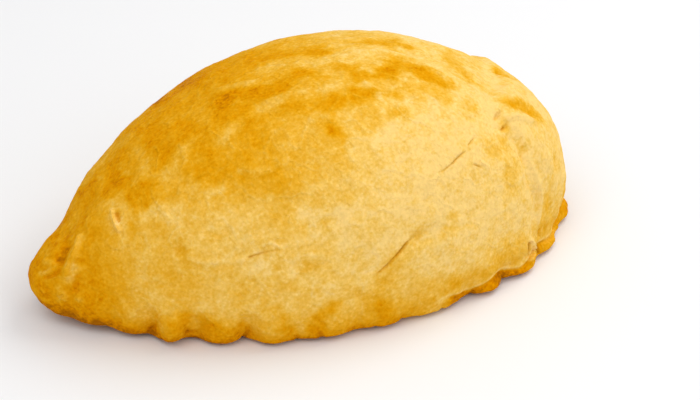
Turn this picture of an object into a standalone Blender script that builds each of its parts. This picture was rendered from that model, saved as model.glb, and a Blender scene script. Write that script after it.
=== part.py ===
"""A hand-shaped meat pie: one tall loaf of filled dough, pinched to a nose at one end.

Metres, +Z up. +X runs from the nose to the round end, the crimped front faces -Y, and the pie stands
on Z = 0 with the middle of its outline at the origin.
"""

import math
import random

import bmesh
import bpy
from mathutils import Vector, noise

MM = 0.001

# The loaf, measured from the line that joins the nose to the round end
LENGTH = 151 * MM
FRONT_WIDTH = 43.8 * MM
BACK_WIDTH = 52 * MM
RIM_HEIGHT = 6 * MM  # the widest line, above the rounded foot
DOME_RISE = 48.9 * MM  # from the widest line to the top of the dome

# How bluntly each curve starts at the nose and ends at the round end: 0.5 is an ellipse, 1 a cone
FRONT_ENDS = (0.745, 0.62)
BACK_ENDS = (0.80, 0.65)
DOME_ENDS = (0.71, 0.54)
END_RADIUS = 17 * MM  # of the very end, seen from above
SECTION_POWER = (2.24, 2.44)  # across the loaf, at the nose and at the round end: 2 is an ellipse

# The pinched nose
NOSE_LENGTH = 17 * MM
NOSE_WIDTH = 7.8 * MM
NOSE_RISE = 5.6 * MM
NOSE_LIFT = 5.3 * MM  # the foot leaves the table towards the nose
LIFTED_LENGTH = 45 * MM

# The foot
FOOT_DEPTH = 1.6 * RIM_HEIGHT  # of the round edge, which the table then cuts off flat
FOOT_POWER = 3
FOOT_ENDS = (0.06, 0.05)  # shares of the length over which the nose and the round end lose their foot

# Finger pinches along the foot: degrees from the nose, depth, and how far the lobe that follows
# swells out. The round end is at 180.
FRONT_PINCHES = (
    (24, 0.5 * MM, 0.9 * MM),
    (36, 1.0 * MM, 0.5 * MM),
    (46.3, 2.5 * MM, 4.2 * MM),
    (54.8, 4.4 * MM, 1.3 * MM),
    (65.5, 2.9 * MM, 2.3 * MM),
    (74, 0.5 * MM, 1.0 * MM),
    (87, 1.2 * MM, 0.6 * MM),
    (97, 1.0 * MM, 0.4 * MM),
    (112, 1.6 * MM, 1.2 * MM),
    (122.5, 0.9 * MM, 1.7 * MM),
    (135, 0.6 * MM, 0 * MM),
    (148, 0.9 * MM, 0 * MM),
    (154, 1.3 * MM, 0 * MM),
    (171, 1.6 * MM, 0.4 * MM),
)
LOBE_POWER = 1.3  # 1 swells like a sine, and more is more pointed
BACK_PINCHES = 13
BACK_PINCH_DEPTH = (0.8 * MM, 2.2 * MM)
BACK_LOBE = (0.4 * MM, 1.2 * MM)
PINCH_WIDTH = 2.2  # degrees
PINCH_HEIGHT = 3.5 * MM  # above the rim
PINCH_RAISE = 0.65  # a pinch of this share of its depth lifts the edge as well

# The bottom crust, which shows under the edge of the top crust at the round end
LEDGE = 1.5 * MM
LEDGE_FROM = 108  # degrees from the nose
LEDGE_TO = 236
SEAM_DEPTH = 0.7 * MM

# Folds in the crust
END_FOLD = 2.5 * MM
END_FOLD_AT = 54 * MM
END_FOLD_BEND = 10.5 * MM
SIDE_FOLD = 0.9 * MM
SIDE_FOLD_FROM = -2 * MM
SIDE_FOLD_TO = 27 * MM
SIDE_FOLD_LOW = 16.4 * MM
SIDE_FOLD_HIGH = 25.6 * MM
SIDE_FOLD_BEND = 3.6
NOSE_FOLD = 0.6 * MM
NOSE_FOLD_AT = -72.3 * MM
NOSE_FOLD_SLANT = 0.55
NOSE_KNOB = 0.8 * MM
NOSE_KNOB_FROM = -68.5 * MM
# where finger and thumb pressed behind the nose: x, width and depth
PRESSES = ((-66.5 * MM, 9 * MM, 2.9 * MM), (-50.5 * MM, 6 * MM, 0.9 * MM))
TIP = 1.1 * MM
TIP_HEIGHT = 19 * MM
SWELLS = ((0.5 * MM, 26 * MM), (0.25 * MM, 11 * MM))  # height and width of what the hands left uneven

# The mesh: steps round the loaf and along it, and the shares of the steps from the top to the
# middle of the underside that the dome and the rounded foot take
ROUND_STEPS = 68
LENGTH_STEPS = 74
DOME_SHARE = 0.66
FOOT_SHARE = 0.11
FOOT_EDGE = 30  # degrees from the rim to the table, on the foot's own curve
POLE = 1e-6  # both ends stop this share of the length short, where every width would be nothing

CRUST_COLOR = (0.72, 0.42, 0.10, 1)
CRUST_ROUGHNESS = 0.55


def eased(value):
    """0 up to 0, 1 from 1 on, and a smooth ramp between."""
    value = min(max(value, 0), 1)
    return value * value * (3 - 2 * value)


def bell(distance, width):
    return math.exp(-((distance / width) ** 2))


def hump(t, ends):
    """A curve over t from 0 to 1 that is 0 at both ends and 1 at its highest."""
    start, finish = ends
    peak = start / (start + finish)
    return (t / peak) ** start * ((1 - t) / (1 - peak)) ** finish


def rounded(t, reach):
    """A quarter circle from 0 at t = 0 to 1 at t = reach, and 1 after that."""
    return math.sqrt(1 - max(1 - t / reach, 0) ** 2)


def with_ball(body, distance, length, size):
    """The body's curve blended with a ball of this length and half-width, this distance from its end."""
    ball = size * math.sqrt(max(1 - (2 * distance / length - 1) ** 2, 0))
    return (body**4 + ball**4) ** 0.25


def lift(t):
    return NOSE_LIFT * max(1 - t * LENGTH / LIFTED_LENGTH, 0) ** 2


def half_width(t, side):
    width, ends = (FRONT_WIDTH, FRONT_ENDS) if side < 0 else (BACK_WIDTH, BACK_ENDS)
    width = with_ball(width * hump(t, ends), t * LENGTH, NOSE_LENGTH, NOSE_WIDTH)
    return with_ball(width, (1 - t) * LENGTH, 2 * END_RADIUS, END_RADIUS)


def body_point(t, side, angle):
    """A point of the smooth loaf.

    t runs along it, side is -1 at the front and 1 at the back, and angle is in degrees from the top:
    90 at the rim and 180 under the middle.
    """
    width = half_width(t, side)
    rim = RIM_HEIGHT + lift(t)
    across = abs(math.sin(math.radians(angle)))
    upward = math.cos(math.radians(angle))
    if angle <= 90:
        rise = with_ball(DOME_RISE * hump(t, DOME_ENDS), t * LENGTH, NOSE_LENGTH, NOSE_RISE)
        power = SECTION_POWER[0] + (SECTION_POWER[1] - SECTION_POWER[0]) * t
        reach = ((across / width) ** power + (upward / rise) ** power) ** (-1 / power)
        y, z = reach * across, rim + reach * upward
    else:
        depth = FOOT_DEPTH * rounded(t, FOOT_ENDS[0]) * rounded(1 - t, FOOT_ENDS[1])
        y = width * across ** (2 / FOOT_POWER)
        z = max(rim - depth * (-upward) ** (2 / FOOT_POWER), lift(t))
    return Vector((LENGTH * (t - 0.5), side * y, z))


def section_angle(turn):
    """Shares out the steps round the loaf: turn is 0 at the top and 1 under the middle."""
    if turn < DOME_SHARE:
        return 90 * turn / DOME_SHARE
    if turn < DOME_SHARE + FOOT_SHARE:
        return 90 + FOOT_EDGE * (turn - DOME_SHARE) / FOOT_SHARE
    return 180 - (90 - FOOT_EDGE) * (1 - turn) / (1 - DOME_SHARE - FOOT_SHARE)


def degrees_round_foot(t, side, point):
    """Degrees round the foot from the nose: 90 in the middle of the front, 180 at the round end."""
    turned = math.degrees(math.acos(1 - 2 * t))
    near_end = eased((abs(turned - 90) - 68) / 14)
    outward = 1 - near_end * (1 - abs(point.y) / half_width(t, side))
    turned = turned * outward if t < 0.5 else 180 - (180 - turned) * outward
    return turned if side < 0 else 360 - turned


def back_pinches():
    """The side away from the front is pinched like it, at uneven distances."""
    draw = random.Random(7)
    gap = 180 / BACK_PINCHES
    for number in range(1, BACK_PINCHES):
        at = 180 + gap * (number + draw.uniform(-0.3, 0.3))
        yield at, draw.uniform(*BACK_PINCH_DEPTH), draw.uniform(*BACK_LOBE)


def pinch(round_foot, pinches):
    """How deep the foot is pinched at this many degrees from the nose."""
    return sum(depth * math.exp(-abs(round_foot - at) / PINCH_WIDTH) for at, depth, _ in pinches)


def lobe(round_foot, pinches):
    """How far the foot swells out here, between one pinch and the next."""
    for (start, _, size), (end, _, _) in zip(pinches, pinches[1:]):
        if start < round_foot < end:
            return size * math.sin(math.pi * (round_foot - start) / (end - start)) ** LOBE_POWER
    return 0


def clear_of_table(normal):
    """0 on the flat that the pie lies on, and 1 on all that is seen from above or from a side."""
    return eased(2 * math.hypot(normal.x, normal.y)) if normal.z < 0 else 1


def foot_relief(point, rim, round_foot, pinches):
    """Outward and upward shifts of the foot, from its pinches and from the bottom crust's ledge.

    rim is the height of the widest line here.
    """
    depth = pinch(round_foot, pinches)
    nearest = min(abs(round_foot - at) for at, _, _ in pinches)
    below = (rim - point.z) / RIM_HEIGHT
    fade = bell(min(below, 0) * RIM_HEIGHT, PINCH_HEIGHT)
    outward = (lobe(round_foot, pinches) - depth) * fade
    upward = PINCH_RAISE * depth * fade * eased(below + 0.2)
    at_end = eased((round_foot - LEDGE_FROM) / 6) * eased((LEDGE_TO - round_foot) / 6)
    lobed = 0.35 + 0.65 * eased(nearest / 5)
    outward += LEDGE * lobed * at_end * eased((below - 0.3) / 0.3)
    outward -= SEAM_DEPTH * at_end * bell(below - 0.25, 0.25)
    return outward, upward


def end_fold(point):
    """The crust wrapped over the round end: a shallow groove, then a raised cap."""
    turn = math.degrees(math.atan2(point.z, -point.y))
    line = END_FOLD_AT - END_FOLD_BEND * bell(turn - 64, 13)
    cap = eased((point.x - line) / (3.5 * MM)) * eased((LENGTH / 2 - point.x) / (10 * MM))
    groove = bell(point.x - line, 3 * MM) * eased((95 - turn) / 20)
    return END_FOLD * (cap * eased((turn - 20) / 60) * eased((160 - turn) / 40) - 0.3 * groove)


def side_fold(point):
    """A flap of crust low on the front: a crease that climbs towards the round end, proud below it."""
    if point.y > 0:
        return 0
    along = (SIDE_FOLD_TO - point.x) / (SIDE_FOLD_TO - SIDE_FOLD_FROM)
    line = SIDE_FOLD_HIGH - (SIDE_FOLD_HIGH - SIDE_FOLD_LOW) * abs(along) ** SIDE_FOLD_BEND
    below = line - point.z
    ends = eased((point.x - SIDE_FOLD_FROM) / (6 * MM) + 1) * eased((SIDE_FOLD_TO - point.x) / (8 * MM) + 1)
    flap = eased(below / (4 * MM)) * math.exp(-max(below, 0) / (9 * MM))
    return SIDE_FOLD * ends * (flap - 0.4 * bell(below, 2.5 * MM))


def nose_knob(point):
    """The end of the nose, thicker than the neck behind it."""
    knob = NOSE_KNOB * eased((NOSE_KNOB_FROM - point.x) / (5 * MM) + 0.4)
    pressed = sum(depth * bell(point.x - at, width) for at, width, depth in PRESSES)
    return knob - pressed * eased((point.y + 8 * MM) / (10 * MM))


def nose_tip(point):
    """How far the very end of the nose is drawn out, low down."""
    return TIP * eased((-70 * MM - point.x) / (6 * MM)) * eased((TIP_HEIGHT - point.z) / (4 * MM))


def nose_ring(point):
    """The ridge across the front of the nose, with a groove behind it."""
    front = eased((4 * MM - point.y) / (6 * MM))
    above = point.z - RIM_HEIGHT - NOSE_LIFT
    slanted = point.x - NOSE_FOLD_AT - NOSE_FOLD_SLANT * above
    ring = bell(slanted, 2.2 * MM) - bell(slanted - 3.6 * MM, 2.2 * MM)
    return NOSE_FOLD * front * ring * eased((14 * MM - above) / (6 * MM))


def swells(point):
    """Long, low unevenness."""
    return sum(height * noise.noise(point / width) for height, width in SWELLS)


def build_pie():
    pinches = FRONT_PINCHES + tuple(back_pinches())
    mesh = bmesh.new()
    bmesh.ops.create_uvsphere(mesh, u_segments=ROUND_STEPS, v_segments=LENGTH_STEPS, radius=1)

    # The ball's poles become the nose and the round end.
    places = {}
    for vert in mesh.verts:
        t = min(max((1 + vert.co.z) / 2, POLE), 1 - POLE)
        turn = abs(math.atan2(vert.co.x, vert.co.y)) / math.pi
        side = -1 if vert.co.x < 0 else 1
        vert.co = body_point(t, side, section_angle(turn))
        places[vert] = degrees_round_foot(t, side, vert.co)
    mesh.normal_update()

    moves = {}
    for vert, round_foot in places.items():
        point, normal = vert.co, vert.normal
        rim = RIM_HEIGHT + lift(point.x / LENGTH + 0.5)
        clear = clear_of_table(normal)
        outward, upward = foot_relief(point, rim, round_foot, pinches)
        flat = Vector((normal.x, normal.y, 0))
        move = flat * outward * 2 / (1 + flat.length) + Vector((0, 0, upward * clear))
        crust = end_fold(point) + side_fold(point) + nose_ring(point) + swells(point)
        crust *= eased((point.z - rim) / (5 * MM))
        moves[vert] = move + normal * (crust + nose_knob(point) * clear)
        moves[vert].x -= nose_tip(point)
    for vert, move in moves.items():
        vert.co += move
        vert.co.z = max(vert.co.z, 0)

    # The middle of the outline comes over the origin.
    for axis in (0, 1):
        low = min(vert.co[axis] for vert in mesh.verts)
        high = max(vert.co[axis] for vert in mesh.verts)
        for vert in mesh.verts:
            vert.co[axis] -= (low + high) / 2

    data = bpy.data.meshes.new("pie")
    mesh.to_mesh(data)
    mesh.free()
    data.shade_smooth()
    return data


def baked_crust():
    material = bpy.data.materials.new("baked_crust")
    material.use_nodes = True
    shader = material.node_tree.nodes["Principled BSDF"]
    shader.inputs["Base Color"].default_value = CRUST_COLOR
    shader.inputs["Roughness"].default_value = CRUST_ROUGHNESS
    shader.inputs["Metallic"].default_value = 0
    return material


for old in list(bpy.data.objects):
    bpy.data.objects.remove(old, do_unlink=True)

meat_pie = bpy.data.collections.new("meat_pie")
bpy.context.scene.collection.children.link(meat_pie)
pie = bpy.data.objects.new("pie", build_pie())
pie.data.materials.append(baked_crust())
meat_pie.objects.link(pie)
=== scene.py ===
# %% [markdown]
# # A hand-shaped meat pie
#
# A round of soft dough is folded over a meat filling, pinched shut along its foot and drawn out to a
# blunt nose at one end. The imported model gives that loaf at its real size. This lesson takes a copy
# of it, makes the copy fine enough for creases and crimps, bakes colour into it, and lights it.

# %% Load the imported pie
import math

import bmesh
import bpy
import numpy as np
from mathutils import Matrix, Vector, noise


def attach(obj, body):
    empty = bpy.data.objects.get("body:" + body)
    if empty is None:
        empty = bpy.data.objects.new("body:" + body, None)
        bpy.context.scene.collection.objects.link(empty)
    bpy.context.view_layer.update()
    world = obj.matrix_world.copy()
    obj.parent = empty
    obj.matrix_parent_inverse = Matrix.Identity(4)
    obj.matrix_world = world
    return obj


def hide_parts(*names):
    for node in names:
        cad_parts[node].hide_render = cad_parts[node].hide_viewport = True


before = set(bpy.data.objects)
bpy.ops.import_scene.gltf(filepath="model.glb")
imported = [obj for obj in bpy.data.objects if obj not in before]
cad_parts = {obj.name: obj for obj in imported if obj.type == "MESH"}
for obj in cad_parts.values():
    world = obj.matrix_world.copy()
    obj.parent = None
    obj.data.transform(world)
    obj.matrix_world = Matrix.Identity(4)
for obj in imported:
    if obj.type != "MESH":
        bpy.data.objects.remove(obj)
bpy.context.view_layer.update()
MM = 0.001

# %% [markdown]
# ## The dough
#
# The crust is one unbroken skin, so one mesh makes all of it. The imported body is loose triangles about
# 3 mm wide. A copy of it is merged and its triangles are paired into quads, because Subdivision
# Surface rounds quads more evenly than triangles. Sculpting by hand would give the same skin, but here
# every crease has a place and a depth that can be read and changed.

# %% A fine copy of the loaf
SAME_POINT = 0.01 * MM
ROUNDING_LEVELS = 2

crust = bpy.data.objects.new("crust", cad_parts["pie"].data.copy())
bpy.context.scene.collection.objects.link(crust)

dough = bmesh.new()
dough.from_mesh(crust.data)
bmesh.ops.remove_doubles(dough, verts=dough.verts, dist=SAME_POINT)
bmesh.ops.join_triangles(
    dough,
    faces=dough.faces,
    angle_face_threshold=math.radians(60),
    angle_shape_threshold=math.radians(80),
)
bmesh.ops.recalc_face_normals(dough, faces=dough.faces)
loaf = bpy.data.meshes.new("crust")
dough.to_mesh(loaf)
dough.free()
if "custom_normal" in loaf.attributes:
    loaf.attributes.remove(loaf.attributes["custom_normal"])
crust.data = loaf


def apply_modifiers(piece):
    """Gives the piece the mesh that its modifiers make, and takes them off."""
    evaluated = piece.evaluated_get(bpy.context.evaluated_depsgraph_get())
    made = bpy.data.meshes.new_from_object(evaluated)
    piece.modifiers.clear()
    piece.data = made
    piece.data.shade_smooth()


rounding = crust.modifiers.new("rounding", "SUBSURF")
rounding.levels = ROUNDING_LEVELS
rounding.render_levels = ROUNDING_LEVELS
apply_modifiers(crust)
print("loaf:", len(loaf.polygons), "faces, fine loaf:", len(crust.data.polygons))

# %% [markdown]
# ## Strokes on the crust
#
# What hands and oven leave on a crust is mostly lines: a crease where a fold closed, a ridge where a
# finger pushed dough aside, a flap that lies over the skin next to it. Each is a path of a few points
# in millimetres. The distance of every vertex from the path, and the side of it that the vertex lies
# on, are enough to press any of them in.


# %% Smooth steps and bells
def eased(share):
    """0 up to 0, 1 from 1 on, and a smooth ramp between."""
    share = np.clip(share, 0, 1)
    return share * share * (3 - 2 * share)


def rise(values, start, end):
    """0 before start, 1 past end, and a smooth ramp between. The end may be the lower number."""
    return eased((values - start) / (end - start))


def bell(distance, width):
    return np.exp(-((distance / width) ** 2))


print("a rise from 10 to 20, at 12, 15 and 18:", rise(np.array((12, 15, 18)), 10, 20).round(2))


# %% [markdown]
# ## Distances from a path
#
# A vertex could be tested against every point of a smooth curve, but a path of short straight steps is
# enough. Its corners are cut three times over, which rounds it, and each vertex keeps its distance
# from the nearest step. Vertices far outside the path's box are left out, so this stays quick.


# %% Measure from a path
def soft_path(points):
    """The path in metres, its corners cut until it bends smoothly."""
    path = np.array(points, float) * MM
    for _ in range(3):
        near, far = path[:-1], path[1:]
        cut = np.stack([0.75 * near + 0.25 * far, 0.25 * near + 0.75 * far], axis=1)
        path = np.vstack([path[:1], cut.reshape(-1, 3), path[-1:]])
    return path


def vertex_vectors(mesh, name):
    values = np.empty(len(mesh.vertices) * 3, np.float32)
    mesh.vertices.foreach_get(name, values)
    return values.reshape(-1, 3).astype(float)


def measure(mesh, points, reach=14):
    """Each vertex's distance from the path, and its share of the way along it.

    The distance is negative to the right of the path, for someone who walks along it on the crust.
    Vertices more than reach millimetres outside the path's box count as endlessly far.
    """
    places, normals = vertex_vectors(mesh, "co"), vertex_vectors(mesh, "normal")
    path = soft_path(points)
    low, high = path.min(axis=0) - reach * MM, path.max(axis=0) + reach * MM
    close = np.nonzero(((places > low) & (places < high)).all(axis=1))[0]
    distance = np.full(len(places), np.inf)
    along = np.zeros(len(places))
    nearest = np.full(len(close), np.inf)
    share_along, side = np.zeros(len(close)), np.ones(len(close))
    places, normals = places[close], normals[close]
    for number, (start, end) in enumerate(zip(path, path[1:])):
        step = end - start
        share = np.clip((places - start) @ step / (step @ step), 0, 1)
        offset = places - start - share[:, None] * step
        away = np.linalg.norm(offset, axis=1)
        closer = away < nearest
        nearest[closer] = away[closer]
        share_along[closer] = (number + share[closer]) / (len(path) - 1)
        left = (np.cross(step, offset) * normals).sum(axis=1)
        side[closer] = np.where(left[closer] < 0, -1, 1)
    distance[close], along[close] = nearest * side, share_along
    return distance, along


print("a path of 3 points becomes", len(soft_path([(0, 0, 0), (5, 0, 0), (5, 5, 0)])))

# %% [markdown]
# ## The closed creases
#
# A closed crease is the line where two folds of dough met in the oven and stayed shut. The longest
# runs up the near side, and two short dents sit at the round end where fingertips pressed. They are
# kept as paths here, because the mesh has to be finer along them before anything is pressed in.

# %% The paths of the creases
SIDE_CREASE = (
    (-1, -47, 16.5),
    (3, -47, 19),
    (5, -46.5, 20.5),
    (7.5, -46.5, 22.5),
    (9.5, -46, 24.2),
    (12.5, -45.5, 25),
)
SOFT_CREASE = ((10, -46, 24.3), (14.5, -45.5, 25.2), (20.5, -45, 25.4), (26, -44, 25.2))
LOW_CRACK = ((21, -39.5, 37.5), (25, -38.5, 38.5), (28, -37, 39.5), (30.5, -36, 40))
HIGH_CRACK = ((31.5, -34.8, 40.5), (33.5, -33.5, 41), (35.5, -32.5, 41.5))
SHORT_CREASE = ((31.5, -37.5, 36.8), (33, -37.5, 36), (34.5, -37.5, 34.8))
UPPER_DENT = ((46.5, -24.5, 42.5), (45, -25.5, 41.5), (43, -27, 41))
LOWER_DENT = ((47, -27.5, 40), (45.5, -28, 39), (44, -28.5, 38.5))
LOW_CREASE = ((-30, -38, 25.3), (-26, -39, 26.5), (-21, -40.3, 27.2))
SLOT = ((49.9, -37.9, 8.8), (49.6, -38.4, 6.9), (49.8, -38.4, 5.0))
FOOT_SLOT = ((54, -34, 4.5), (54, -34.5, 2))
FOOT_FOLD = ((-17.5, -45.3, 10), (-14.5, -46.5, 7), (-12.5, -47, 3.5))
NECK_LINE = ((-56, -12.5, 31.5), (-56.5, -15.5, 30), (-56, -18.5, 28))
NARROW_STROKES = (
    SIDE_CREASE,
    LOW_CRACK,
    HIGH_CRACK,
    SHORT_CREASE,
    UPPER_DENT,
    LOWER_DENT,
    LOW_CREASE,
    SLOT,
    FOOT_SLOT,
    FOOT_FOLD,
    NECK_LINE,
)
print("narrow strokes:", len(NARROW_STROKES))

# %% [markdown]
# ## Where the crust needs more vertices
#
# At level 2 the faces are under a millimetre wide, which is enough for swells and soft folds. A closed
# crease is thinner than that. Only the faces along the narrow strokes, along the crimped foot and on
# the near side of the nose are divided again, so the mesh stays light.


# %% Finer faces where the strokes are narrow
def divide_near(mesh, near):
    """Divides each edge whose two vertices are both near."""
    fine = bmesh.new()
    fine.from_mesh(mesh)
    edges = [edge for edge in fine.edges if all(near[vert.index] for vert in edge.verts)]
    bmesh.ops.subdivide_edges(fine, edges=edges, cuts=1, use_grid_fill=True)
    fine.to_mesh(mesh)
    fine.free()


def between(values, low, high):
    """Which of the values, in metres, lie between two numbers of millimetres."""
    return (values > low * MM) & (values < high * MM)


def triangle_count(mesh):
    return sum(len(face.vertices) - 2 for face in mesh.polygons)


for reach in (3, 1.5):
    near = np.zeros(len(crust.data.vertices), bool)
    for path in NARROW_STROKES:
        near |= abs(measure(crust.data, path)[0]) < reach * MM
    divide_near(crust.data, near)

x, y, z = vertex_vectors(crust.data, "co").T
divide_near(crust.data, between(z, 0.1, 6))
x, y, z = vertex_vectors(crust.data, "co").T
divide_near(crust.data, between(z, 0.02, 1.7) & (y < 12 * MM))
x, y, z = vertex_vectors(crust.data, "co").T
divide_near(crust.data, (x < -57 * MM) & (y < 0) & between(z, 7, 27))
print("triangles after dividing:", triangle_count(crust.data))

# %% [markdown]
# ## Creases and ridges
#
# Every stroke is added up as a height above or below the smooth skin, and the vertices are moved once
# along their normals. A groove and a ridge are the same bell with another sign. A flap is raised on
# the right side of its path only, and sinks back into the loaf over its reach. The sum starts a little
# above 0, because Subdivision Surface drew the skin in by about that much.

# %% Tools for grooves and flaps
DRAWN_IN = 0.4 * MM

places, normals = vertex_vectors(crust.data, "co"), vertex_vectors(crust.data, "normal")
height = np.full(len(places), DRAWN_IN)


def ends_faded(along, fade):
    """1 along the path, easing to 0 over the first and the last of these shares of it."""
    first, last = fade
    started = eased(along / first) if first else 1
    return started * (eased((1 - along) / last) if last else 1)


def line(points, width, fade=(0.25, 0.25)):
    """1 on the path and 0 a few widths beside it."""
    distance, along = measure(crust.data, points)
    return bell(distance, width * MM) * ends_faded(along, fade)


def flap(points, reach, edge, fade=(0.3, 0.3)):
    """1 just right of the path, sinking back over its reach, and 0 to the left of it."""
    distance, along = measure(crust.data, points)
    raised = eased(0.5 - distance / (2 * edge * MM)) * np.exp(np.minimum(distance, 0) / (reach * MM))
    return raised * ends_faded(along, fade)


print("vertices to move:", len(places))

# %% [markdown]
# ## Pressing the creases in
#
# A real crease is dark because little light gets into it, and because its edges browned first. Its
# depth gives the shadow. Painted shade also darkens and browns the colour in each crease: how dark it is
# goes into a second number on each vertex, so that a crease too thin to hold a shadow still reads as a
# line.

# %% Press the creases in
GROOVES = (
    # path, width in mm, depth in mm, how far the ends fade, how much painted shade it gets
    (SIDE_CREASE, 0.30, 0.9, (0.4, 0.4), 0.8),
    (SOFT_CREASE, 1.4, 1.0, (0.3, 0.6), 0.25),
    (LOW_CRACK, 0.25, 0.7, (0.5, 0.2), 0.6),
    (HIGH_CRACK, 0.28, 0.5, (0.3, 0.5), 0.35),
    (SHORT_CREASE, 0.25, 0.5, (0.4, 0.4), 0.4),
    (UPPER_DENT, 0.45, 0.9, (0.5, 0.5), 0.25),
    (LOWER_DENT, 0.45, 0.9, (0.5, 0.5), 0.3),
    (LOW_CREASE, 0.28, 0.6, (0.2, 0.6), 0.5),
    (SLOT, 0.70, 2.6, (0.3, 0.3), 1.5),
    (FOOT_SLOT, 0.60, 1.6, (0.3, 0.2), 1.2),
    (FOOT_FOLD, 1.0, 0.5, (0.4, 0.3), 0.0),
)
FLAP_HEIGHT = 0.5 * MM

# painted shade in the creases, which darkens and browns the colour there
creased = np.zeros(len(places))
for path, width, depth, fade, painted_shade in GROOVES:
    groove = line(path, width, fade)
    height -= depth * MM * groove
    creased = np.maximum(creased, painted_shade * groove)
height += FLAP_HEIGHT * flap(SIDE_CREASE, reach=4, edge=0.4)
height += FLAP_HEIGHT * flap(SOFT_CREASE, reach=5, edge=1.6)
print("deepest and highest so far, mm:", (height.min() / MM).round(2), (height.max() / MM).round(2))

# %% [markdown]
# ## Wrinkles that the dough kept
#
# Where the dough was stretched over the filling it kept thin raised lines, and shallow valleys beside
# them. Most are half a millimetre high. What is raised or sunk is summed up for the browning later, as a
# painted highlight that makes raised lines paler and painted shade that makes valleys browner.

# %% Raise the wrinkles
WRINKLES = (
    # path, width in mm, height in mm
    (
        ((-43.5, -31, 26), (-42.5, -32, 24.5), (-38.5, -34.5, 24), (-34, -37, 24.5), (-29.5, -38, 25)),
        0.7,
        0.42,
    ),
    (
        (
            (-26.2, -38.5, 27.5), (-25.5, -38.5, 28.4), (-24, -39, 28.8),
            (-22.5, -40, 28), (-22, -40.5, 27),
        ),
        0.5,
        0.56,
    ),
    (((-21, -42, 24), (-18.5, -42.5, 25), (-15.5, -43, 25.5), (-11, -44.5, 24)), 0.7, 0.49),
    (((-19, -43, 21.5), (-16.5, -43.5, 22), (-14, -44, 22.5)), 0.8, -0.49),
    (((-26, -25.5, 42.5), (-23.5, -28, 42.5), (-20, -29.5, 42.5)), 0.5, 0.56),
    (((-21.5, 3.5, 49.5), (-16.5, 1, 51), (-11.5, -2, 52.5)), 0.9, 0.49),
    (((-15.5, -11.5, 51), (-11, -11.5, 52.5), (-7.5, -12.5, 53), (-1, -14.5, 53.5)), 0.8, 0.49),
    (((11, -15.5, 54), (12.5, -18.5, 53), (14, -22, 52)), 0.8, 0.56),
    (((10, -1.5, 54.5), (17, -1.5, 54.5), (23.5, -2.5, 54), (30.5, -7.5, 52.5)), 1.1, 0.49),
    (((29, -10, 52.5), (32, -12, 51.5), (35, -15, 50)), 0.8, 0.49),
    (NECK_LINE, 0.5, 0.98),
    (((-55.2, -14, 31), (-55.4, -16.5, 29.5)), 0.5, -0.84),
    (((-46, -20.5, 34.5), (-45.5, -23, 33), (-45, -25.5, 31.5)), 0.7, 0.49),
    (((43, -10, 47.5), (43, -13.5, 47)), 0.9, -0.7),
    (((46.5, -27.5, 40.5), (49, -26, 41), (53, -25, 39), (56.5, -24.5, 36)), 0.7, 0.84),
    (((52.5, -23.5, 39.5), (54.5, -24, 38.5), (58, -24, 35.5)), 0.6, 0.7),
    (((46.5, -38.5, 11), (46.7, -39.3, 9), (47.2, -39.7, 6)), 0.6, 0.98),
    (((50.3, -37.2, 9), (52.5, -35, 4.5), (50.8, -37.3, 3.5), (48.8, -39.3, 3.5)), 0.6, 1.12),
    (((50, -22.5, 43), (53, -22, 41.5), (55.5, -21.5, 39.5), (59, -22, 36)), 1.4, -0.84),
    (
        ((49.5, -29, 36.5), (49.5, -30, 33), (49.5, -32, 30), (50.5, -34, 24), (53.5, -33, 16.5)),
        1.0,
        -0.56,
    ),
    (
        (
            (51, -30, 32), (52, -31, 28.5), (54, -32, 23.5),
            (56, -32, 19.5), (53.5, -34, 11.5), (52.5, -35, 8.5),
        ),
        1.0,
        0.7,
    ),
    (((63, -25, 27), (62.5, -27, 23.5), (60, -29.5, 21), (59, -31, 15), (60, -30.5, 9.5)), 1.2, -0.7),
    (((68, -22.5, 20), (65.5, -26, 17.5), (64, -27, 13), (63, -28, 9.5), (63, -26, 4)), 1.3, 0.84),
    (((55, -33.5, 9.5), (55, -33.5, 6.5)), 0.7, -0.84),
    (((57.5, -32.5, 9), (58, -32, 6)), 0.6, -0.56),
    (((34, -37, 36.5), (35.5, -37, 35.5), (36.5, -37, 34)), 0.5, 0.42),
    (((17, -41, 35), (19, -40.5, 36.5), (21, -39.5, 37.5)), 0.6, 0.42),
    (
        ((12, -46, 24), (15.5, -45.5, 24.8), (18, -45, 25.4), (21.5, -44.5, 25.7), (27.5, -43.5, 25)),
        1.2,
        0.49,
    ),
)
ridge_highlight_and_valley_shade = np.zeros(len(places))
for path, width, raise_by in WRINKLES:
    wrinkle = line(path, width)
    height += raise_by * MM * wrinkle
    # painted highlight on raised wrinkles and painted shade in sunk ones, for the browning
    ridge_highlight_and_valley_shade += math.copysign(1, raise_by) * wrinkle
print("wrinkles:", len(WRINKLES))

# %% [markdown]
# ## The nose
#
# The end of the loaf was closed between finger and thumb. That left a ridge across the front of the
# nose with a valley behind it, a dimple below, a small curl under it and short arcs near the tip.

# %% Shape the nose
NOSE_RIDGE = (
    (-64, -10.5, 25.5),
    (-65, -12, 24),
    (-66.5, -13.5, 21.5),
    (-68.5, -14, 19),
    (-70, -14.5, 15.5),
)
NOSE_VALLEY = ((-68, -9, 24), (-69.5, -10.5, 21.5), (-71, -12, 18.5))
NOSE_ARC = ((-74.5, -9, 15), (-73, -10.5, 16), (-71.5, -12, 17.5))
UNDER_ARC = ((-74, -10, 14.5), (-72, -12.5, 16), (-70, -13, 18))
INNER_ARC = ((-73, -6.5, 17), (-72, -9.5, 17.8), (-71, -10.5, 19))
NOSE_DIMPLE = ((-67.3, -16.5, 17.5), (-68.2, -16.5, 14.5), (-68, -17, 12.5))
TIP_LINE = ((-75.2, -9.7, 12), (-74.3, -11, 10.5))
LOW_KNOB = ((-67.6, -16.6, 12), (-66.8, -18.1, 11))
NOSE_CURL = ((-72, -13.5, 10.5), (-71, -14.5, 12.5), (-70, -15, 11.5), (-70.5, -14.5, 9.5))
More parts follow.
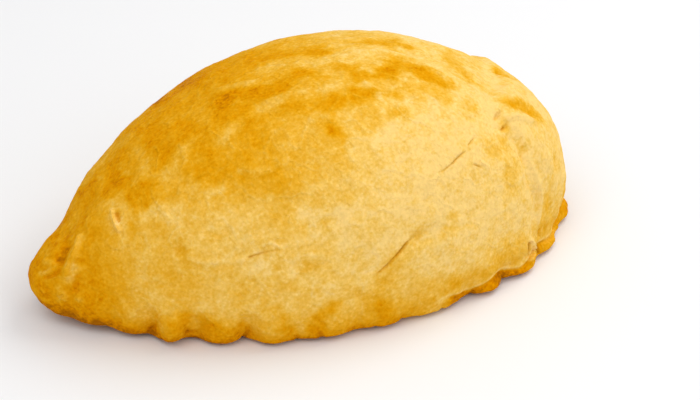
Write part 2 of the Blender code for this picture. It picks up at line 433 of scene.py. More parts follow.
NOSE_STROKES = (
    # path, width in mm, height in mm
    (NOSE_RIDGE, 1.0, 1.2),
    (NOSE_VALLEY, 1.8, -1.4),
    (NOSE_ARC, 0.45, 0.6),
    (UNDER_ARC, 0.45, -0.7),
    (NOSE_CURL, 0.7, 0.7),
    (INNER_ARC, 0.8, 0.6),
    (NOSE_DIMPLE, 0.8, -1.3),
    (TIP_LINE, 0.45, 0.5),
    (LOW_KNOB, 1.0, 0.6),
)
# how strongly raised nose strokes get a painted highlight and sunk ones painted shade
NOSE_HIGHLIGHT_AND_SHADE = 1.6

for path, width, raise_by in NOSE_STROKES:
    stroke = line(path, width)
    height += raise_by * MM * stroke
    ridge_highlight_and_valley_shade += NOSE_HIGHLIGHT_AND_SHADE * math.copysign(1, raise_by) * stroke
print("strokes on the nose:", len(NOSE_STROKES))

# %% [markdown]
# ## Pits and swells
#
# Between the strokes the skin is never quite even. Steam lifts it in places, and the filling shows
# through as low lumps. Noise of a few sizes gives that, and single pits and one small bump are given
# one by one. Mathutils' noise is used, because it is the same on every run.

# %% Pits and uneven skin
SPOTS = (
    # place, width in mm, height in mm
    ((57.5, -3.5, 41.5), 1.3, -1.1),
    ((-45, -29.5, 26.5), 1.4, -0.8),
    ((-33.5, -33, 31), 1.0, -0.5),
    ((-2.5, -27, 49.5), 1.2, -0.3),
    ((58.5, -30, 24), 0.8, -0.4),
    ((58.3, 6.8, 40.1), 2.0, 0.4),
)
SKIN_LUMPS = (
    # height in mm, width in mm
    (0.34, 8),
    (0.22, 3.4),
    (0.12, 1.6),
)


def around(place, width):
    return bell(np.linalg.norm(places - np.array(place) * MM, axis=1), width * MM)


def lumps(size):
    """Smooth noise about 0, of lumps this many millimetres wide."""
    return np.array([noise.noise(Vector(place) / (size * MM)) for place in places])


for place, width, raise_by in SPOTS:
    height += raise_by * MM * around(place, width)
for raise_by, size in SKIN_LUMPS:
    height += raise_by * MM * lumps(size)
print("spots:", len(SPOTS), "and lumps of", len(SKIN_LUMPS), "sizes")

# %% [markdown]
# ## The crest above the round end
#
# The last fold was laid over from behind, and its edge runs along the top and down the far end as a
# low crest that breaks the outline. It is two wide, low strokes.

# %% Raise the crest
TOP_OF_CREST = ((34, 3, 51.5), (44, 3, 47.4), (50, 3.5, 44.5), (55.5, 4.5, 41.5))
END_OF_CREST = ((57, 11, 39), (59, 6.5, 39.5), (62, 2, 38.3), (65, -5, 35.5), (67.5, -11, 31.5))
CREST_STROKES = (
    # path, width in mm, height in mm, how far the ends fade
    (TOP_OF_CREST, 4.0, 0.8, (0.4, 0.1)),
    (END_OF_CREST, 3.0, 0.2, (0.1, 0.4)),
)
for path, width, raise_by, fade in CREST_STROKES:
    height += raise_by * MM * line(path, width, fade)
print("highest now, mm:", (height.max() / MM).round(2))

# %% [markdown]
# ## Crimps
#
# Two crusts were pinched together all along the foot. Each pinch left a notch that runs up from the
# table, and the dough between two notches swelled into a small lobe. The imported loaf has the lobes;
# here each notch gets its sharp bottom.

# %% Sharpen the crimps
CRIMPS = (
    # x on the foot, how far the notch leans, how high it runs and how deep it is, all in mm
    (-62, 0, 5, 0.5),
    (-52.5, 1.5, 7, 1.0),
    (-44, -1.5, 7, 1.6),
    (-31.5, 1.5, 6, 0.9),
    (-19, -1, 5, 0.5),
    (-12.5, -4, 7, 0.7),
    (0.5, 0.5, 8, 0.4),
    (8, 0, 4, 0.5),
    (19, 1, 4, 0.5),
    (28.7, 2, 4, 0.8),
    (39.5, 1, 4, 0.7),
    (65.5, 2, 8, 1.0),
    (74, 1, 5, 0.6),
)


def on_front_foot(x, z):
    """The place, in mm, of the front vertex nearest to this x and height."""
    front = places[places[:, 1] < 0] / MM
    return front[np.hypot(front[:, 0] - x, front[:, 2] - z).argmin()]


notches = np.zeros(len(places))
for x, lean, tall, depth in CRIMPS:
    path = [on_front_foot(x + lean * share, 0.4 + tall * share) for share in (0, 0.35, 0.7, 1)]
    notch = line(path, width=0.8, fade=(0, 0.8))
    height -= depth * MM * notch
    # painted shade in the notches: deeper notches are made browner later
    notches += depth * notch
print("crimps:", len(CRIMPS))

# %% [markdown]
# ## Where the upper crust ends
#
# Towards the round end the upper crust stops a few millimetres above the table, and the lower crust
# comes out from under it as a browner strip. A shallow groove at a wavy height parts the two.

# %% Part the two crusts
EDGE_HEIGHT, EDGE_WAVE, EDGE_WAVE_LENGTH = 3.9, 0.8, 2.6 * math.tau
EDGE_GROOVE = 0.6 * MM
LOWER_CRUST_SHOWS = (18, 24)  # x in mm: none of it up to the first, all of it from the second on

crust_edge = EDGE_HEIGHT + EDGE_WAVE * np.sin(math.tau * places[:, 0] / (EDGE_WAVE_LENGTH * MM))
parted = rise(places[:, 0] / MM, *LOWER_CRUST_SHOWS) * bell(places[:, 2] / MM - crust_edge, 0.4)
height -= EDGE_GROOVE * parted
print("edge of the upper crust, mm:", crust_edge.min().round(1), "to", crust_edge.max().round(1))

# %% [markdown]
# ## The foot on the table
#
# Now the whole sum moves the skin. The sole has to stay flat on the table, so the vertices that face
# down hardly move. A soft loaf also sags a little: it bulges just above the table and draws in under
# the bulge, which leaves the thin dark gap that makes it look heavy.

# %% Move the skin and tuck the foot in
TUCK_ALONG, TUCK_ACROSS = 0.026, 0.040
BULGE_ALONG, BULGE_ACROSS = 0.006, 0.010

above_sole = eased(places[:, 2] / (0.8 * MM))
free = above_sole + (1 - above_sole) * eased(1.5 + 1.6 * normals[:, 2])
moved = places + normals * (height * free)[:, None]
tucked = 1 - eased(moved[:, 2] / (1.0 * MM))
bulged = bell(moved[:, 2] / MM - 1.6, 1.0)
moved[:, 0] *= 1 - TUCK_ALONG * tucked + BULGE_ALONG * bulged
moved[:, 1] *= 1 - TUCK_ACROSS * tucked + BULGE_ACROSS * bulged
moved[:, 2] = np.maximum(moved[:, 2], 0)
crust.data.vertices.foreach_set("co", moved.astype(np.float32).ravel())
crust.data.update()
print("shaped crust, mm:", ((moved.max(axis=0) - moved.min(axis=0)) / MM).round(1))

# %% [markdown]
# ## Where the oven browned it
#
# Crust browns where it is hot and dry: on top, on thin edges and where it touches the tray. The near
# side and the round end stayed paler. The amount of browning is one number on each vertex, 0 for raw
# and 1 for well browned, and the shader turns it into colour. Painted shade in the creases, the notches,
# the valleys and at the foot, and a painted highlight on raised lines, go into the same number later. A
# picture wrapped round the pie could do this too, but a number needs no unwrapping and follows the
# shape. It starts with broad areas.

# %% Broad areas of browning
places, normals = vertex_vectors(crust.data, "co"), vertex_vectors(crust.data, "normal")
x, y, z = places.T / MM
large_lumps, small_lumps, tiny_lumps = lumps(6), lumps(3), lumps(1.5)

browning = np.full(len(places), 0.30)
browning -= 0.20 * rise(x, -20, 10) * rise(z, 10, 18)  # the near side of the round half
browning += 0.12 * bell(z, 11)  # the lower flank
browning += 0.46 * rise(z, 32, 44) * rise(x, 22, -40)  # the top, more and more towards the nose
browning += 0.22 * rise(y, 1, 15) * rise(x, 25, -15)  # just past the top
browning += 0.20 * rise(z, 49, 53) * rise(x, 40, 20)  # the highest part
browning += 0.12 * rise(x, -36, -50)  # the neck
browning += 0.46 * rise(x, -53, -66)  # the nose
browning += 0.12 * rise(y, -16, -2) * rise(x, 42, 52)  # the round end's top
browning += 0.70 * bell(z, 5) * (1 - 0.8 * rise(x, 2, 20))  # the foot, most towards the nose
cloudy = large_lumps * 0.7 + small_lumps * 0.3 + lumps(14)
browning += 0.42 * rise(y, 14, 24) * rise(cloudy, -0.15, 0.65)  # clouds on the back
print("browning, lowest, middle, highest:", np.percentile(browning, (0, 50, 100)).round(2))

# %% [markdown]
# ## Brown patches
#
# On top of that, patches that stood a little higher or dried first are browner. Each is a short wide
# path with its own browning. Noise is taken from the distance, so that no patch has an even edge, and
# the edge is a mix of a narrow ramp and a wide one, as in a stain.

# %% Lay the brown patches
BROWN_PATCHES = (
    # path, half its width in mm, how brown it is
    (((-75, -2.5, 14.5), (-76, -7.5, 12.5), (-75.5, -9, 10), (-74, -11, 7.5)), 1.2, 0.95),
    (
        ((-74, -11.5, 7), (-72.5, -12.5, 6.5), (-70.5, -14, 5), (-68, -16, 4.5), (-65, -18.5, 3.5)),
        1.5,
        0.97,
    ),
    (((-65.5, -5.5, 22.5), (-67, -7, 22), (-69, -10, 20.5), (-71, -11.5, 18.5)), 1.1, 0.95),
    (((-67.5, -15.5, 17), (-67.5, -16, 15)), 0.8, 1.15),
    (((-74, -10, 15), (-73, -11.5, 15.5), (-72, -12, 17)), 0.4, 1.05),
    (((-57, 2.5, 30), (-55, -3.5, 32), (-53, -3.5, 33)), 4.6, 0.92),
    (((-51.5, -7.5, 34.5), (-49.5, -12, 35.5), (-48, -17.5, 34.5)), 2.8, 0.92),
    (((-52.5, 4.5, 33), (-49.5, 5, 35), (-46.5, 4, 37), (-46, -2.5, 38)), 3.4, 0.84),
    (((-41, 2, 41), (-40.5, -4.5, 41.5), (-40, -10, 41.5)), 2.8, 0.92),
    (((-39.5, 6.5, 41), (-36, -1, 43.5), (-32, -3, 45.5), (-34, -8, 44.5)), 3.6, 0.90),
    (
        ((-32, -14.5, 44.5), (-30, -17, 44.5), (-28.5, -21, 43.5), (-30.5, -23, 42), (-34, -21, 41.5)),
        2.7,
        0.90,
    ),
    (((-28, -25, 42), (-27, -25.5, 42)), 1.0, 0.85),
    (((-35.5, 9.5, 42.5), (-31.5, 8, 44.5), (-26.5, 5.5, 47), (-23.5, 1.5, 48.5)), 4.2, 0.84),
    (((-24.5, -3.5, 48.5), (-24, -10, 48.5), (-20, -8, 50)), 2.7, 0.90),
    (((-25, 14.5, 46), (-19.5, 10.5, 49), (-12.5, 6, 51.5)), 2.7, 0.82),
    (((-10.5, 10, 51.5), (-9.5, 9, 52)), 2.6, 0.90),
    (((-20, -1.5, 50), (-16, -3, 51), (-13, -6.5, 52), (-10, -8, 53)), 3.9, 0.97),
    (((-22.5, -16, 48), (-19.5, -15, 49.5), (-17.5, -14.5, 50)), 1.4, 0.80),
    (((-19.5, -19.5, 48), (-19, -22, 47.5)), 1.0, 0.80),
    (((-4.5, 9.5, 52.5), (-0.5, 7.5, 53.5), (3.5, 7, 54), (7, 3.5, 54.5)), 3.2, 0.88),
    (((-1.5, -6.5, 54), (2, -8.5, 54.5)), 3.0, 0.92),
    (((-10, -15.5, 52), (-5.5, -16.5, 52.5), (-2.5, -18.5, 52.5), (0, -21.5, 52)), 2.5, 0.90),
    (((4, -20, 53), (8.5, -20, 53), (11, -21, 52.5)), 2.4, 0.92),
    (((13, -13.5, 54), (16.5, -14, 54), (21.5, -12.5, 53.5), (24.5, -8.5, 53.5)), 3.2, 0.93),
    (((27.5, -13, 52.5), (30, -15.5, 51.5), (33, -17.5, 50)), 3.1, 0.90),
    (((17.5, -22, 52), (18.5, -22, 51.5)), 1.6, 0.75),
    (((22.5, -21, 51.5), (28, -20.5, 50.5), (31.5, -22.5, 49)), 2.5, 0.55),
    (((9, -8.5, 55), (9.5, -9, 55)), 2.3, 0.78),
    (((-2.5, -26, 50), (-2, -28, 48.5)), 2.0, 0.90),
    (((14, 8.5, 54), (20, 5, 54)), 2.9, 0.50),
    (((26, 4, 53.5), (28.5, 1, 53)), 3.1, 0.80),
    (((7.5, -25.5, 50.5), (13, -25.5, 50.5), (15, -27, 50)), 2.2, 0.52),
    (((5.5, -29, 49), (8.5, -28.5, 49)), 1.4, 0.45),
    (((43, -3.5, 48), (42.5, -10.5, 48)), 4.0, 0.42),
    (((43, -12.5, 47.5), (44, -15.5, 46)), 2.0, 0.55),
    (((35, -25, 46.5), (38.5, -25, 45)), 1.6, 0.48),
    (((57, -3.5, 41.5), (56.5, -5, 41.5)), 1.5, 0.97),
    (((50, -22.5, 43), (54, -21.5, 40.5), (57.5, -21.5, 38), (59.5, -22, 35.5)), 1.7, 0.62),
    (((45.5, -28, 39), (47, -28.5, 38)), 0.9, 0.45),
    (((42, -32, 37), (43.5, -34, 33.5), (44.5, -36, 28)), 3.6, 0.32),
    (((55.5, -32.5, 18), (57, -32, 15)), 2.2, 0.42),
    (((55.5, -33, 10), (56, -33, 5.5)), 2.5, 0.50),
    (((71, -18.5, 3.5), (68, -21.5, 3.5)), 1.6, 0.70),
    (((22.5, -47, 8.5), (23.5, -46.5, 8)), 1.5, 0.75),
    (((27, -44, 4.5), (30.5, -45, 7.5)), 2.4, 0.50),
    (((38, -42.5, 6.5), (41.5, -41, 8.5), (44.5, -39.5, 11)), 2.7, 0.42),
    (((1.5, -48, 9), (2.5, -48.5, 6)), 1.5, 0.90),
    (((-0.5, -48, 13.5), (0.5, -48, 13.5)), 1.1, 0.55),
    (((-15.5, -46, 4.5), (-15, -46, 8), (-13, -46.5, 10), (-11.5, -46.5, 12)), 1.6, 0.93),
    (((-23, -44, 10), (-22.5, -44, 5.5)), 1.3, 0.93),
    (((-32.5, -38.5, 5), (-31.5, -38.5, 4.5)), 2.3, 0.93),
    (((-40.5, -35.5, 6.5), (-37, -39, 6)), 1.7, 0.92),
    (((-50.5, -32, 9), (-49, -34.5, 7.5), (-46, -34, 9)), 1.8, 0.93),
    (((-62.5, -21.5, 9.5), (-59, -24.5, 9.5)), 1.8, 0.78),
    (((-66, -19, 7), (-63.5, -20.5, 5)), 2.7, 0.92),
    (((-53, -19, 30), (-54.5, -21.5, 27)), 0.8, 0.72),
    (((-60, -17, 25.5), (-58, -20, 25), (-57, -21.5, 23.5)), 1.8, 0.58),
    (((-62, -20, 18), (-63, -20, 15.5)), 1.1, 0.66),
    (((-45.5, -29.5, 26.5), (-44.5, -29.5, 26.5)), 1.2, 0.60),
    (((-37.5, -21.5, 39), (-38, -26.5, 35.5)), 1.5, 0.50),
    (((-25, -29, 40.5), (-24.5, -29.5, 40.5)), 1.0, 0.62),
    (((-11.5, -33, 43), (-11.5, -36, 40)), 2.0, 0.42),
    (((-16.5, -43, 23.5), (-12.5, -44, 23.5)), 1.0, 0.38),
    (((1, -47.5, 15), (6, -47.5, 20), (13, -46.5, 23), (24, -44, 25)), 1.9, 0.36),
    (((-6.5, -46.5, 14.5), (-2.5, -47.5, 12)), 1.6, 0.48),
    (((-33, -39.5, 14.5), (-28, -42, 13)), 2.2, 0.40),
)
ragged = 2.2 * large_lumps + 1.9 * small_lumps + 1.1 * tiny_lumps
for path, width, brownness in BROWN_PATCHES:
    away = abs(measure(crust.data, path)[0]) / MM - ragged * min(1, 0.3 + width / 3)
    covered = 0.5 * rise(away, width + 1.5, width - 1.5) + 0.5 * rise(away, width + 3.5, width - 3.5)
    browning += covered * (np.maximum(brownness, browning) - browning)
print("brown patches:", len(BROWN_PATCHES))

# %% [markdown]
# ## Pale streaks
#
# Between the patches the skin stayed pale along the ridges of the dough and in its sheltered folds.
# The streaks are made like the patches, but they only ever lighten what they cross.

# %% Lay the pale streaks
PALE_STREAKS = (
    # path, half its width in mm, how brown it is
    (((-64, -11.5, 25), (-66, -13, 22.5), (-68.5, -14, 19.5)), 0.9, 0.36),
    (((-67.5, -15, 18.5), (-69.5, -15, 15)), 1.0, 0.38),
    (((-74.5, -8.5, 15), (-73, -10.5, 16.5), (-71, -11.5, 18)), 0.5, 0.36),
    (((-72, -4, 17), (-72.5, -8, 17.5)), 1.3, 0.62),
    (((-71.5, -14, 13), (-71.5, -14, 10.5)), 1.1, 0.50),
    (((-67.5, -17, 12), (-67, -18, 11)), 0.8, 0.65),
    (NECK_LINE, 0.5, 0.10),
    (((-44.5, 1, 39), (-45, -4.5, 39), (-45, -12, 38)), 1.1, 0.50),
    (((-36, -11.5, 43), (-39, -14, 41), (-42, -15.5, 39)), 1.6, 0.42),
    (((-29, -2.5, 46.5), (-28.5, -7, 47)), 1.3, 0.58),
    (((-27, -16.5, 46.5), (-25, -15, 47.5)), 1.5, 0.42),
    (((-19.5, 1.5, 50), (-16, 0.5, 51), (-12, -1.5, 52.5)), 1.0, 0.45),
    (((-8.5, 3.5, 52.5), (-3.5, 3.5, 53.5), (0.5, 0.5, 54), (6, -2, 54.5)), 2.1, 0.36),
    (((-17, -13, 50.5), (-15, -13, 51), (-11, -13.5, 52)), 1.5, 0.38),
    (
        ((-10.5, -13, 52.5), (-7, -11.5, 53), (-4.5, -12.5, 53.5), (0, -15, 53.5), (4.5, -15, 54)),
        1.1,
        0.30,
    ),
    (((11.5, -16, 54), (12.5, -19, 53), (13.5, -22, 52)), 0.7, 0.18),
    (((9, -0.5, 54.5), (14.5, -1, 54.5), (21, -1.5, 54), (27.5, -4, 53)), 1.6, 0.30),
    (((29, -1, 53), (33, -4.5, 52), (36.5, -9.5, 50.5), (39, -13.5, 49)), 1.4, 0.22),
    (((27, -8, 53), (30.5, -9, 52), (33, -13.5, 51), (35, -16.5, 50)), 0.9, 0.25),
    (((57.5, 4, 41), (55, -3, 41.5), (50.5, -15, 43)), 1.3, 0.02),
    (((37, -21, 47.5), (43, -18.5, 46), (47, -18, 43.5)), 2.5, 0.02),
    (((44.5, -21.5, 43.5), (43.5, -25.5, 42)), 1.3, 0.00),
    (((33.5, -32.5, 42), (38, -30.5, 41.5), (43, -28, 40.5)), 1.6, 0.00),
    (((-1.5, -45.5, 24), (2, -45.5, 25), (6.5, -45.5, 26)), 1.7, 0.00),
    (((-6, -41.5, 34), (-6.5, -44, 27.5)), 1.8, 0.02),
    (((17.5, -41, 36), (19.5, -40, 37.5), (22.5, -39, 38.5)), 1.6, 0.00),
    (((-14.5, -39, 34.5), (-12.5, -40, 34)), 1.7, 0.08),
    (((-28.5, -39.5, 23.5), (-26, -40.5, 23.5)), 1.3, 0.08),
    (((-29.5, -36.5, 29), (-28, -38, 27)), 1.2, 0.15),
    (((-26.5, -25.5, 42), (-20, -29, 43)), 0.7, 0.10),
    (((-35, -25.5, 38), (-31.5, -27, 39)), 0.6, 0.20),
    (((-49.5, -20.5, 32), (-48, -20.5, 32.5)), 1.0, 0.25),
    (((-53, -28, 15), (-50.5, -30, 14.5), (-48, -32, 14)), 0.9, 0.30),
    (((-20, -44.5, 7.5), (-19, -44.5, 4.5)), 1.0, 0.45),
    (((-29.5, -40.5, 5.5), (-28.5, -42.5, 8)), 1.0, 0.50),
    (((-54.5, -18, 29.5), (-55, -19.5, 28.5)), 1.1, 0.35),
    (((46.5, -38.5, 11), (46.7, -39.3, 9), (47.2, -39.7, 6)), 0.8, 0.05),
    (((50.3, -37.2, 9), (52.5, -35, 4.5), (50.8, -37.3, 3.5)), 0.7, 0.08),
    (((49.5, -36, 14), (49.5, -37, 11)), 1.8, 0.05),
    (((49, -34, 27.5), (51.5, -34, 22.5), (53, -34, 15.5)), 2.8, 0.05),
)
for path, width, brownness in PALE_STREAKS:
    away = abs(measure(crust.data, path)[0]) / MM
    covered = 0.85 * bell(away + 0.3 * min(1, width) * ragged, 1.25 * width)
    browning += covered * (np.minimum(brownness, browning) - browning)
print("pale streaks:", len(PALE_STREAKS))

# %% [markdown]
# ## Edges, creases and the sole
#
# Thin edges brown first. The creases get painted shade that darkens and browns them, the notches of
# the crimps get painted shade as browning by their depth, raised lines a painted highlight and sunk
# lines painted shade. The strip of lower crust lay on the hot tray, and so did the sole, and the lowest
# band of the foot is browner where it touched the tray and darker as painted contact shade. The result
# goes onto the mesh as two attributes, which the shader can read: how brown the skin is, with its
# painted shade, and how much painted shade a crease gets.

# %% Finish the browning and store it
DEEPEST_BROWNING = 1.25
SOLE_BROWNING = 0.8

# painted shade browns the creases and the notches; raised lines get a painted highlight, sunk ones
# painted shade
browning += 0.45 * creased + 0.16 * notches - 0.17 * np.clip(ridge_highlight_and_valley_shade, -1, 1)
above_edge = z - crust_edge
lower_crust = rise(x, *LOWER_CRUST_SHOWS) * rise(above_edge, 0.2, -0.5)
lower_browning = 1.12 - 0.34 * rise(x, 46, 54) + 0.2 * lumps(4)
browning += lower_crust * (lower_browning - browning)
browning -= 0.25 * rise(x, 12, 20) * bell(above_edge - 0.9, 0.5)  # the pale rim of the upper crust
# the lowest millimetre of the foot is browner where it touched the tray and darker as painted contact
# shade
browning += 0.35 * rise(z, 1.2, 0.2)  # where it touches the tray
browning = np.where((z < 0.3) & (normals[:, 2] < -0.5), SOLE_BROWNING, browning)
browning = np.clip(browning, 0, DEEPEST_BROWNING)

for name, values in (("browning", browning), ("creased", creased)):
    attribute = crust.data.attributes.new(name, "FLOAT", "POINT")
    attribute.data.foreach_set("value", values.astype(np.float32))
print("browning, lowest, middle, highest:", np.percentile(browning, (0, 50, 100)).round(2))

# %% [markdown]
# ## Fewer faces where the skin is smooth
#
# The dividing left many more faces at the foot and the nose than their swells need. The Decimate
# modifier merges those that lie flattest and leaves the ones in creases alone, so the mesh gets light
# without a change that shows. Merged vertices share their browning.

# %% Thin the mesh
MOST_TRIANGLES = 190_000

thinning = crust.modifiers.new("thinning", "DECIMATE")
thinning.ratio = min(1, MOST_TRIANGLES / triangle_count(crust.data))
apply_modifiers(crust)
print("triangles in the finished crust:", triangle_count(crust.data))
print("browning kept:", "browning" in crust.data.attributes)

# %% [markdown]
# ## Shader maths
#
# A material is a web of small sums. Wrapping a socket in a class with its own plus and times lets the
# sums be written as they are on paper, and each one adds its Math node.


# %% Wires
class Wire:
    """A socket of a material's node tree."""

    def __init__(self, tree, socket=None):
        self.tree = tree
        self.socket = socket

    def node(self, kind, settings=None, sockets=None, output=0):
        """Adds a node, sets it up, and gives it values or wires. Returns one of its outputs."""
        made = self.tree.nodes.new(kind)
        for name, value in (settings or {}).items():
            if name == "stops":
                set_stops(made.color_ramp, value)
            else:
                setattr(made, name, value)
        for name, value in (sockets or {}).items():
            if isinstance(value, Wire):
                self.tree.links.new(value.socket, made.inputs[name])
            else:
                made.inputs[name].default_value = value
        return Wire(self.tree, made.outputs[output])

    def math(self, operation, first, second):
        return self.node("ShaderNodeMath", {"operation": operation}, {0: first, 1: second})

    def __add__(self, other):
        return self.math("ADD", self, other)

    def __radd__(self, other):
        return self.math("ADD", other, self)

    def __sub__(self, other):
        return self.math("SUBTRACT", self, other)

    def __rsub__(self, other):
        return self.math("SUBTRACT", other, self)

    def __mul__(self, other):
        return self.math("MULTIPLY", self, other)

    def __rmul__(self, other):
        return self.math("MULTIPLY", other, self)


def set_stops(ramp, stops):
    """Gives a colour ramp its stops: pairs of a place from 0 to 1 and a colour."""
    for place, _ in stops[len(ramp.elements) :]:
        ramp.elements.new(place)
    for element, (place, color) in zip(ramp.elements, stops):
        element.position = place
        element.color = (*color, 1)


crust_finish = bpy.data.materials.new("baked_crust")
crust_finish.use_nodes = True
web = Wire(crust_finish.node_tree)
print("material:", crust_finish.name)

# %% [markdown]
# ## Patterns for the crust
#
# Up close a crust is cloudy, dotted with tiny blisters and crossed by hairline veins where the dough
# stretched. Noise gives the clouds. The middle value of a noise runs along winding lines, which make
# the veins. Voronoi distances give scattered dots. All read Object coordinates, which stay fixed to
# the pie, so nothing slides when it moves.

# %% Clouds, dots and veins
where = web.node("ShaderNodeTexCoord", output="Object")


def cloud(size, detail=2.0, rough=0.5):
    """Noise about 0, of lumps this many millimetres wide."""
    sockets = {"Vector": where, "Scale": 1 / (size * MM), "Detail": detail, "Roughness": rough}
    return web.node("ShaderNodeTexNoise", {}, sockets, "Fac") - 0.5


def speckle(size, width):
    """1 in the middle of scattered dots and 0 between them. The dots lie about this many mm apart."""
    sockets = {"Vector": where, "Scale": 1 / (size * MM), "Randomness": 1.0}
    distance = web.node("ShaderNodeTexVoronoi", {"feature": "F1"}, sockets, "Distance")
    return web.math("MAXIMUM", 1 - distance * (1 / width), 0.0)


def veins_of(size, thinness):
    """1 along thin winding lines that lie about this many millimetres apart, and 0 between."""
    beside = web.math("ABSOLUTE", cloud(size), 0.0)
    return web.math("MAXIMUM", 1 - beside * thinness, 0.0)


veins = veins_of(11, thinness=22)
fine_veins = veins_of(3.2, thinness=11)
print("nodes for the veins:", len(web.tree.nodes))

# %% [markdown]
# ## From browning to colour
#
# Raw dough is pale straw. As it browns it turns gold, then amber, then a deep orange brown, and its
# blue goes first. A ramp holds those colours in order, with its last stop for the deepest browning.
# Noise moves the place on the ramp up and down, which gives cloudy patches and mottling. The finest
# grain does two things at once: where a speck is darker it is browner too, because grey specks would
# look like dirt and not like crust.

# %% The crust's colours
CRUST_COLORS = (
    # how brown, colour
    (0.00, (0.92, 0.63, 0.205)),
    (0.12, (0.89, 0.57, 0.132)),
    (0.24, (0.85, 0.50, 0.075)),
    (0.36, (0.82, 0.44, 0.038)),
    (0.48, (0.79, 0.39, 0.016)),
    (0.60, (0.76, 0.345, 0.005)),
    (0.72, (0.73, 0.30, 0.001)),
    (0.80, (0.68, 0.25, 0.0)),
    (1.00, (0.40, 0.13, 0.002)),
)
browned_and_shaded = web.node("ShaderNodeAttribute", {"attribute_name": "browning"}, output="Fac")
painted_crease_shade = web.node("ShaderNodeAttribute", {"attribute_name": "creased"}, output="Fac")

mottled = 0.26 * cloud(14) + 0.55 * cloud(5, 3.0, 0.55) + 0.32 * cloud(1.9, 2.0, 0.6)
blistered = 0.10 * speckle(1.6, width=0.42)
grain = 0.36 * cloud(0.8, detail=1.0) + 0.28 * cloud(2.2) + 0.10 * speckle(1.3, width=0.4)
shade = browned_and_shaded + mottled - blistered - 0.10 * veins - 0.05 * fine_veins - 0.9 * grain
# the grain lightens and darkens the colour, and the creases get painted shade here
lightness = 0.955 + 0.5 * grain - 0.24 * painted_crease_shade

place_on_ramp = shade * (1 / DEEPEST_BROWNING)
baked = web.node("ShaderNodeValToRGB", {"stops": CRUST_COLORS}, {"Fac": place_on_ramp}, "Color")
sockets = {"Vector": baked, "Scale": lightness}
color = web.node("ShaderNodeVectorMath", {"operation": "SCALE"}, sockets, "Vector")
print("stops on the ramp:", len(CRUST_COLORS))

# %% [markdown]
# ## The feel of the crust
#
# A baked crust is dry and dull, with a faint gleam only where it browned hard. So the shine is kept
# close to nothing, and a little light goes into the dough before it comes out again. What is too fine
# for the mesh, a third of a millimetre deep, is a bump.

# %% Relief, shine and the finished piece
BUMP_DEPTH = 0.36 * MM
DRY_DOUGH = {
    "Metallic": 0,
    "IOR": 1.2,
    "Specular IOR Level": 0.01,
    "Subsurface Weight": 0.04,
    "Subsurface Radius": (1.0, 0.45, 0.15),
    "Subsurface Scale": 1.0 * MM,
}
swells = 0.4 * cloud(0.9, 3.0, 0.6) + 1.0 * cloud(2.6, 3.0, 0.6) + 0.35 * veins + 0.2 * fine_veins
sockets = {"Strength": 1.0, "Distance": BUMP_DEPTH, "Height": swells}
relief = web.node("ShaderNodeBump", {}, sockets, "Normal")
roughness = 0.60 - 0.15 * browned_and_shaded + 0.2 * cloud(2.5)

shader = web.tree.nodes["Principled BSDF"]
for name, wire in (("Base Color", color), ("Roughness", roughness), ("Normal", relief)):
    web.tree.links.new(wire.socket, shader.inputs[name])
for name, value in DRY_DOUGH.items():
    shader.inputs[name].default_value = value

crust.data.materials.clear()
crust.data.materials.append(crust_finish)
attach(crust, "root")
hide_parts("pie")
print("nodes in the crust's material:", len(web.tree.nodes))

# %% [markdown]
# ## The table
#
# The pie lies on a plain pale table. It is wide enough to fill the view from any side, and as it is
# only the stage, one even colour does.

# %% The table
bpy.ops.mesh.primitive_plane_add(size=6)
table = bpy.context.object
table.name = "table"
table_finish = bpy.data.materials.new("pale_table")
table_finish.use_nodes = True
table_shader = table_finish.node_tree.nodes["Principled BSDF"]
table_shader.inputs["Base Color"].default_value = (0.85, 0.86, 0.88, 1)
table_shader.inputs["Roughness"].default_value = 0.6
table.data.materials.append(table_finish)
print("table:", [round(side, 1) for side in table.dimensions[:2]], "m")

# %% [markdown]
# ## The lights
#
# The shape reads best in soft light from beside the round end, as from a window. Two weaker soft
# lights fill the near side and the nose, and pale surroundings do the rest, so the shadow on the
# table stays faint. Large discs give soft edges without any settings.


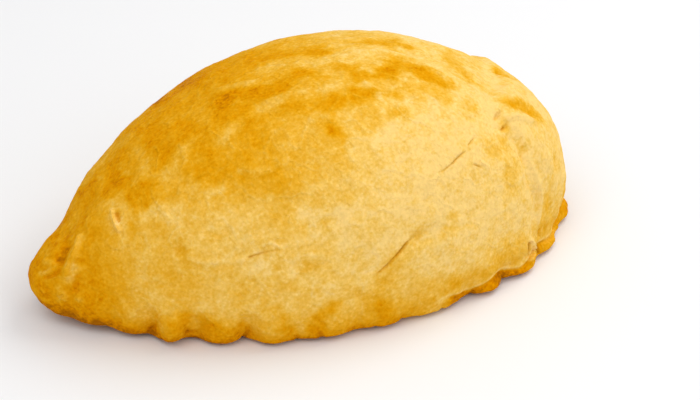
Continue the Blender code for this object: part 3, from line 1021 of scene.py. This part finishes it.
# %% Three soft lights and a pale room
def soft_light(name, place, size, power, color):
    """A disc light at this place in metres that faces the pie."""
    lamp = bpy.data.lights.new(name, "AREA")
    lamp.shape = "DISK"
    lamp.size = size
    lamp.energy = power
    lamp.color = color
    light = bpy.data.objects.new(name, lamp)
    light.location = place
    light.rotation_euler = Vector(place).to_track_quat("Z", "Y").to_euler()
    bpy.context.scene.collection.objects.link(light)


soft_light("window", (0.55, 0.07, 0.70), 0.7, 3.4, (1, 0.99, 0.97))
soft_light("near_side", (0.35, -0.75, 0.60), 0.6, 1.3, (1, 0.99, 0.98))
soft_light("far_left", (-0.45, -0.35, 0.85), 0.8, 2.6, (1, 0.99, 0.98))

world = bpy.data.worlds.new("pale_room")
world.use_nodes = True
room = world.node_tree.nodes["Background"]
room.inputs["Color"].default_value = (1, 0.99, 0.98, 1)
room.inputs["Strength"].default_value = 0.62
bpy.context.scene.world = world
bpy.context.scene.view_settings.view_transform = "Standard"
print("lights:", len(bpy.data.lights))

# %% [markdown]
# ## The camera
#
# The camera looks down on the near side from a little towards the nose. Its place is worked out from
# two angles and a distance, which are easier to change than a point and a turn.

# %% The camera
CAMERA_TURN = math.radians(-24.303)
CAMERA_RISE = math.radians(31.363)
CAMERA_DISTANCE = 506.5 * MM
CAMERA_ASIDE = 13.4 * MM
CAMERA_UP = 11.3 * MM
SENSOR_WIDTH = 36
FOCAL_LENGTH = SENSOR_WIDTH * 1850 / 700

backward = Vector(
    (
        math.sin(CAMERA_TURN) * math.cos(CAMERA_RISE),
        -math.cos(CAMERA_TURN) * math.cos(CAMERA_RISE),
        math.sin(CAMERA_RISE),
    )
)
rightward = Vector((math.cos(CAMERA_TURN), math.sin(CAMERA_TURN), 0))
upward = backward.cross(rightward)
lens = bpy.data.cameras.new("camera")
lens.sensor_width = SENSOR_WIDTH
lens.lens = FOCAL_LENGTH
camera = bpy.data.objects.new("camera", lens)
turned = Matrix((rightward, upward, backward)).transposed().to_4x4()
place = rightward * CAMERA_ASIDE + upward * CAMERA_UP + backward * CAMERA_DISTANCE
camera.matrix_world = Matrix.Translation(place) @ turned
bpy.context.scene.collection.objects.link(camera)
bpy.context.scene.camera = camera
print("camera at, mm:", [round(side / MM) for side in place])
